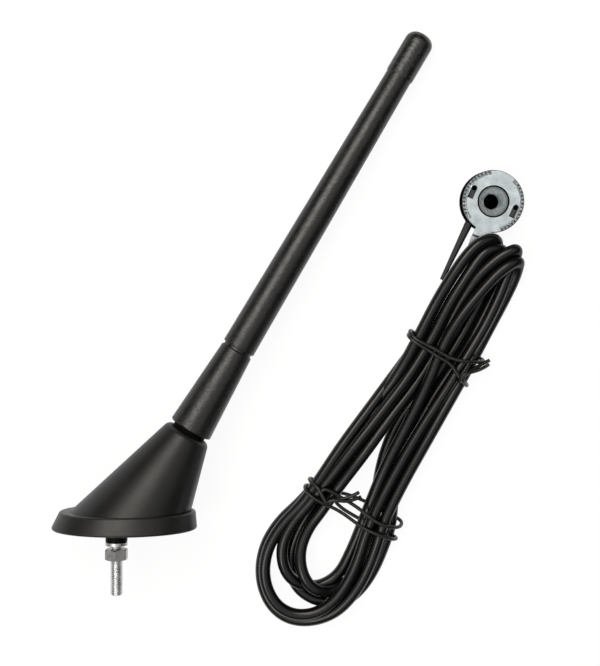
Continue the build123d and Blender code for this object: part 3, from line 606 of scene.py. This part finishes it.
# %% Coat the solids
FINISHES = {
    gasket_rubber: ("base_gasket",),
    seal_painted_shade: ("seal_ring",),
    cover_plastic: ("base_cover",),
    mast_sleeve: ("mast_grip", "mast_rod"),
    cap_rubber: ("tip_cap",),
    nylon_black: ("insulator_plate", "plug_insulator"),
    collar_nylon_painted: ("terminal_collar",),
    tie_cover: ("plug_sleeve",),
    zinc_plate: ("ground_disc",),
    nut_zinc_painted_darker: ("lock_washer", "roof_nut"),
    dished_steel: ("centre_eyelet",),
    plated_steel: ("plug_body",),
    turned_brass: ("mast_bush", "mast_ferrule", "plug_pin"),
    drawn_copper: ("radiator_winding",),
    cast_zinc: ("base_core",),
    glass_rod: ("radiator_core",),
}
for finish, names in FINISHES.items():
    for name in names:
        slots = frame["nodes"][name].data.materials
        slots.clear()
        slots.append(finish)
print(len(FINISHES), "finishes on", sum(len(names) for names in FINISHES.values()), "solids")

# %% [markdown]
# The ties and the threads follow rules, so Geometry Nodes make them. Both trees start with named inputs
# for their sizes and end in the same way. A modifier runs the tree on an object, and the result is kept as
# a plain mesh.

# %% Ends of a tree


def new_tree(name, sizes):
    """A geometry tree with one named input for each size and one for the finish."""
    tree = bpy.data.node_groups.new(name, "GeometryNodeTree")
    tree.interface.new_socket("Geometry", in_out="INPUT", socket_type="NodeSocketGeometry")
    for size in sizes:
        tree.interface.new_socket(size, in_out="INPUT", socket_type="NodeSocketFloat")
    tree.interface.new_socket("Finish", in_out="INPUT", socket_type="NodeSocketMaterial")
    tree.interface.new_socket("Geometry", in_out="OUTPUT", socket_type="NodeSocketGeometry")
    return tree, put(tree, "NodeGroupInput").outputs


def close_tree(tree, shape, finish):
    """The end of every tree: smooth faces, real geometry and the finish."""
    smooth = put(tree, "GeometryNodeSetShadeSmooth", {"Geometry": shape})
    real = put(tree, "GeometryNodeRealizeInstances", {"Geometry": smooth.outputs[0]})
    done = put(tree, "GeometryNodeSetMaterial", {"Geometry": real.outputs[0], "Material": finish})
    put(tree, "NodeGroupOutput", {"Geometry": done.outputs[0]})
    print(tree.name, len(tree.nodes), "nodes")


def grown(name, source, tree, sizes):
    """Runs a tree on an object and keeps the result as a plain mesh piece."""
    modifier = source.modifiers.new("shape", "NODES")
    modifier.node_group = tree
    for item in tree.interface.items_tree:
        if item.in_out == "INPUT" and item.name in sizes:
            modifier[item.identifier] = sizes[item.name]
    ready = source.evaluated_get(bpy.context.evaluated_depsgraph_get())
    mesh = bpy.data.meshes.new_from_object(ready)
    bpy.data.objects.remove(source)
    print(name, len(mesh.polygons), "faces")
    return show(name, mesh)


# %% [markdown]
# Each tie is one plastic-covered wire that goes round the hank twice, with its two ends twisted together.
# A bevelled curve could make the wraps, but the twist is a rule: two strands, half a turn apart, that go
# round the line of the tail. So the tree makes both from given lines. The first line of a tie stays
# one wire, and the second becomes two twisted strands that spread at their cut ends.

# %% Tree for a covered wire
WIRE_SIDES = 10
SPREAD_LATE = 8.0  # the higher this power, the nearer to the cut ends the strands spread

wire_tree, size = new_tree("covered_wire", ("Wire Radius", "Twist Radius", "Twist Pitch", "Step"))
evenly = {"Curve": size["Geometry"], "Length": size["Step"]}
even = put(wire_tree, "GeometryNodeResampleCurve", evenly, mode="LENGTH")
number = put(wire_tree, "GeometryNodeInputIndex").outputs[0]
capped = put(wire_tree, "ShaderNodeMath", {0: number, 1: 1.0}, operation="MINIMUM")
strands = put(wire_tree, "ShaderNodeMath", {0: capped.outputs[0], 1: 1.0}, operation="ADD")
copies = {"Geometry": even.outputs[0], "Amount": strands.outputs[0]}
split = put(wire_tree, "GeometryNodeDuplicateElements", copies, domain="SPLINE")
travel = put(wire_tree, "GeometryNodeSplineParameter").outputs
line = put(wire_tree, "GeometryNodeFieldOnDomain", {0: number}, domain="CURVE", data_type="FLOAT")
known = {
    "line": line.outputs[0], "length": travel["Length"], "share": travel["Factor"],
    "pitch": size["Twist Pitch"], "radius": size["Twist Radius"],
}
TWIST_SUMS = (
    ("turns", "DIVIDE", "length", "pitch"),
    ("half turn", "MULTIPLY", "line", 0.5),
    ("all turns", "ADD", "turns", "half turn"),
    ("angle", "MULTIPLY", "all turns", 2 * pi),
    ("cosine", "COSINE", "angle", 0.0),
    ("sine", "SINE", "angle", 0.0),
    ("late", "POWER", "share", SPREAD_LATE),
    ("spread", "ADD", "late", 1.0),
    ("twisted", "MINIMUM", "line", 1.0),
    ("wide", "MULTIPLY", "radius", "spread"),
    ("reach", "MULTIPLY", "wide", "twisted"),
    ("to the side", "MULTIPLY", "cosine", "reach"),
    ("upwards", "MULTIPLY", "sine", "reach"),
)
for name, what, first, second in TWIST_SUMS:
    terms = {0: known.get(first, first), 1: known.get(second, second)}
    known[name] = put(wire_tree, "ShaderNodeMath", terms, operation=what).outputs[0]
side = put(wire_tree, "GeometryNodeInputNormal").outputs[0]
forward = put(wire_tree, "GeometryNodeInputTangent").outputs[0]
upward = put(wire_tree, "ShaderNodeVectorMath", {0: forward, 1: side}, operation="CROSS_PRODUCT").outputs[0]
side = put(wire_tree, "ShaderNodeVectorMath", {0: side, "Scale": known["to the side"]}, operation="SCALE")
upward = put(wire_tree, "ShaderNodeVectorMath", {0: upward, "Scale": known["upwards"]}, operation="SCALE")
shift = put(wire_tree, "ShaderNodeVectorMath", {0: side.outputs[0], 1: upward.outputs[0]}, operation="ADD")
laid = put(wire_tree, "GeometryNodeSetPosition", {"Geometry": split.outputs[0], "Offset": shift.outputs[0]})
ring = put(wire_tree, "GeometryNodeCurvePrimitiveCircle", {
    "Resolution": WIRE_SIDES, "Radius": size["Wire Radius"],
})
tube = put(wire_tree, "GeometryNodeCurveToMesh", {
    "Curve": laid.outputs[0], "Profile Curve": ring.outputs[0], "Fill Caps": True,
})
close_tree(wire_tree, tube.outputs[0], size["Finish"])

# %% [markdown]
# The wraps lie on the strands that they cross and pass flat under the hank, so a plain ring would cut into
# the cable or stand off it. Their points are listed in the hank's directions, as the cable's are.
# A tie's tail starts where its two ends meet and lies back over the strands.

# %% Lines of the ties
TIES = {
    "upper_tie": {
        "wraps": (
            (80.6, 13.0, 14.2), (81.8, 9.8, 14.4), (84.2, 5.7, 14.4), (85.0, 1.7, 14.5),
            (84.7, -1.6, 14.8), (85.1, -7.0, 14.5), (85.1, -11.3, 14.6), (85.3, -16.0, 14.9),
            (86.0, -19.8, 13.0), (86.6, -19.9, 8.0), (86.8, -19.0, 2.6), (86.6, -16.0, 1.0),
            (87.4, -9.0, 1.0), (90.0, 2.0, 1.0), (93.0, 14.2, 1.0), (94.4, 18.2, 1.6),
            (94.0, 18.8, 6.0), (92.5, 16.6, 10.6), (89.9, 10.8, 14.4), (87.5, 4.6, 14.4),
            (87.0, 0.0, 14.4), (87.3, -4.0, 14.8), (87.0, -10.0, 14.5), (86.7, -16.2, 14.9),
            (87.4, -20.0, 13.0), (88.6, -20.2, 8.4), (89.0, -19.0, 2.6), (88.4, -16.0, 1.0),
            (87.4, -9.0, 2.8), (85.0, 2.0, 1.0), (81.6, 14.0, 1.0), (80.0, 18.0, 1.8),
            (79.4, 18.0, 6.4), (79.6, 15.6, 12.0), (80.8, 12.6, 14.8),
        ),
        "tail": (
            (80.2, 13.2, 14.0), (81.6, 11.8, 15.6), (84.6, 12.8, 15.8), (87.9, 15.6, 13.4),
            (91.2, 18.4, 10.8), (94.6, 20.8, 8.6),
        ),
    },
    "lower_tie": {
        "wraps": (
            (-4.2, -12.4, 14.8), (-2.6, -16.2, 15.2), (-0.4, -18.4, 15.0), (1.8, -17.6, 14.8),
            (2.3, -14.0, 14.4), (2.1, -9.6, 13.8), (2.0, -3.6, 13.4), (1.6, 2.3, 13.4),
            (0.6, 8.6, 13.8), (0.1, 13.0, 14.0), (0.7, 18.2, 13.6), (2.2, 23.8, 9.8), (3.8, 25.8, 5.2),
            (4.8, 25.2, 1.4), (4.9, 21.0, 1.0), (4.4, 6.2, 1.0), (2.5, -7.1, 1.0), (-1.0, -11.0, 1.0),
            (-2.4, -17.0, 1.0), (-2.9, -22.6, 1.0), (-3.1, -25.0, 3.0), (-3.2, -25.8, 9.6),
            (-4.2, -24.0, 13.6), (-4.9, -20.0, 14.5), (-4.9, -13.7, 13.9), (-4.3, -9.3, 13.4),
            (-4.4, -3.5, 13.0), (-5.1, 2.5, 12.9), (-5.7, 8.1, 13.3), (-5.3, 13.0, 13.9),
            (-4.5, 18.6, 13.8), (-3.7, 24.4, 11.0), (-3.4, 27.0, 6.0), (-3.6, 26.8, 1.6),
            (-4.4, 22.0, 1.0), (-5.0, 6.0, 1.0), (-4.8, -5.0, 1.0), (-1.6, -11.0, 2.8),
            (0.2, -17.0, 1.0), (0.6, -22.6, 1.0), (0.9, -25.0, 3.0), (1.0, -25.6, 9.0),
            (1.0, -24.0, 13.2), (0.6, -20.2, 15.2), (-1.6, -16.8, 15.8), (-3.6, -13.2, 15.6),
        ),
        "tail": (
            (-4.4, -12.2, 14.9), (-2.6, -13.2, 16.2), (0.4, -9.8, 16.2), (2.8, -5.6, 15.6),
            (5.4, -3.2, 15.2), (8.0, -1.4, 15.0),
        ),
    },
}
print({node: len(lines["wraps"]) for node, lines in TIES.items()}, "points in the wraps")

# %% [markdown]
# Each tie's two lines become one curve object, and the tree turns that into the covered wire. The wires
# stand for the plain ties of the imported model.

# %% Tie the hank
WIRE_SIZES = {
    "Wire Radius": 0.9 * MM, "Twist Radius": 0.85 * MM, "Twist Pitch": 34 * MM, "Step": 0.6 * MM,
    "Finish": tie_cover,
}
ties = {}
for node, lines in TIES.items():
    tie_line = bpy.data.curves.new(node + "_line", "CURVE")
    tie_line.dimensions = "3D"
    tie_line.resolution_u = 6
    for points in lines.values():
        trace(tie_line, points)
    ties[node] = grown(node + "_wire", show(node + "_line", tie_line), wire_tree, WIRE_SIZES)
    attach(ties[node], "root")
    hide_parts(node)

# %% [markdown]
# A thread is a rule too: on a bar, the radius depends only on how far along the bar and how far round it a
# point is. So a flat grid is rolled into a bar whose radius rises and falls once in each pitch and shifts
# by one pitch for each turn. Its first and last rows are drawn to the axis, which closes the ends. That is
# why a bar has three steps fewer than the grid has rows.

# %% Tree for a thread
ROUND_POINTS = 65
END_ROWS = 3.0
SEWN = 0.002 * MM

thread_tree, size = new_tree("threaded_bar", ("Diameter", "Pitch", "Depth", "Length", "Chamfer", "Rows"))
sheet = put(thread_tree, "GeometryNodeMeshGrid", {
    "Size X": 1.0, "Size Y": 1.0, "Vertices X": ROUND_POINTS, "Vertices Y": size["Rows"],
})
flat = put(thread_tree, "GeometryNodeInputPosition").outputs[0]
flat = put(thread_tree, "ShaderNodeSeparateXYZ", {0: flat}).outputs
known = {
    "x": flat["X"], "y": flat["Y"], "rows": size["Rows"], "length": size["Length"], "pitch": size["Pitch"],
    "diameter": size["Diameter"], "depth": size["Depth"], "chamfer": size["Chamfer"],
}
PLACE_SUMS = (
    ("turn", "ADD", "x", 0.5),
    ("angle", "MULTIPLY", "turn", 2 * pi),
    ("cosine", "COSINE", "angle", 0.0),
    ("sine", "SINE", "angle", 0.0),
    ("up", "ADD", "y", 0.5),
    ("last row", "SUBTRACT", "rows", 1.0),
    ("row", "MULTIPLY", "up", "last row"),
    ("row on the bar", "SUBTRACT", "row", 1.0),
    ("rows on the bar", "SUBTRACT", "rows", END_ROWS),
    ("part", "DIVIDE", "row on the bar", "rows on the bar"),
    ("below one", "MINIMUM", "part", 1.0),
    ("share", "MAXIMUM", "below one", 0.0),
    ("height", "MULTIPLY", "share", "length"),
    ("pitches", "DIVIDE", "height", "pitch"),
    ("unrolled", "SUBTRACT", "pitches", "turn"),
    ("phase", "MULTIPLY", "unrolled", 2 * pi),
    ("wave", "COSINE", "phase", 0.0),
    ("half wave", "MULTIPLY", "wave", 0.5),
    ("flank", "SUBTRACT", 0.5, "half wave"),
    ("cut", "MULTIPLY", "flank", "depth"),
    ("crest", "MULTIPLY", "diameter", 0.5),
    ("thread", "SUBTRACT", "crest", "cut"),
    ("to the far end", "SUBTRACT", "length", "height"),
    ("to the end", "MINIMUM", "height", "to the far end"),
    ("small end", "SUBTRACT", "crest", "chamfer"),
    ("cone", "ADD", "to the end", "small end"),
    ("radius", "MINIMUM", "thread", "cone"),
    ("past the first", "GREATER_THAN", "row", 0.5),
    ("cap row", "SUBTRACT", "rows", 1.5),
    ("before the last", "LESS_THAN", "row", "cap row"),
    ("between", "MULTIPLY", "past the first", "before the last"),
    ("reach", "MULTIPLY", "radius", "between"),
    ("to the side", "MULTIPLY", "cosine", "reach"),
    ("to the front", "MULTIPLY", "sine", "reach"),
)
for name, what, first, second in PLACE_SUMS:
    terms = {0: known.get(first, first), 1: known.get(second, second)}
    known[name] = put(thread_tree, "ShaderNodeMath", terms, operation=what).outputs[0]
rolled = put(thread_tree, "ShaderNodeCombineXYZ", {
    "X": known["to the side"], "Y": known["to the front"], "Z": known["height"],
})
bar = put(thread_tree, "GeometryNodeSetPosition", {
    "Geometry": sheet.outputs["Mesh"], "Position": rolled.outputs[0],
})
sewn = put(thread_tree, "GeometryNodeMergeByDistance", {"Geometry": bar.outputs[0], "Distance": SEWN})
close_tree(thread_tree, sewn.outputs[0], size["Finish"])

# %% [markdown]
# Two bars on the aerial are threaded. The M6 stud goes down through the roof, and the M5 stud on the end
# of the mast screws into the base, where it shows once the mast is unscrewed. Each thread is grown along Z
# and then laid on the bar's own axis.

# %% Cut the threads
ROWS_A_PITCH = 12
M6 = {"Diameter": 6.0 * MM, "Pitch": 1.0 * MM, "Depth": 0.6 * MM, "Chamfer": 0.8 * MM}
M5 = {"Diameter": 5.0 * MM, "Pitch": 0.8 * MM, "Depth": 0.48 * MM, "Chamfer": 0.6 * MM}
ROOF_STUD_LENGTH = 41.2 * MM
MAST_STUD_BELOW, MAST_STUD_ABOVE = 11.4 * MM, 10.0 * MM


def threaded(node, body, finish, thread, start, axis, length):
    """A threaded bar in place of a plain stud, from its start along its axis."""
    rows = ceil(length / thread["Pitch"] * ROWS_A_PITCH) + END_ROWS
    seed = show(node + "_seed", bpy.data.meshes.new(node + "_seed"))
    sizes = {**thread, "Length": length, "Rows": rows, "Finish": finish}
    bar = grown(node + "_thread", seed, thread_tree, sizes)
    bar.data.transform(Matrix.Translation(start) @ axis.to_track_quat("Z", "Y").to_matrix().to_4x4())
    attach(bar, body)
    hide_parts(node)


stud_end = Vector(mounts["roof_stud"]["pos_m"])
threaded("roof_stud", "root", bar_zinc, M6, stud_end, picture_up, ROOF_STUD_LENGTH)
mast_stud_end = Vector(joints["mast_turn"]["pos_m"]) - mast_axis * MAST_STUD_BELOW
mast_stud_length = MAST_STUD_BELOW + MAST_STUD_ABOVE
threaded("mast_stud", "mast", plated_steel, M5, mast_stud_end, mast_axis, mast_stud_length)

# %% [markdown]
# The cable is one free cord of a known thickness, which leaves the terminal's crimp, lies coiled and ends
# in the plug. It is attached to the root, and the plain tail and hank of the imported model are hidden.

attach(cable, "root")
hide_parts("lead_tail", "lead_hank")
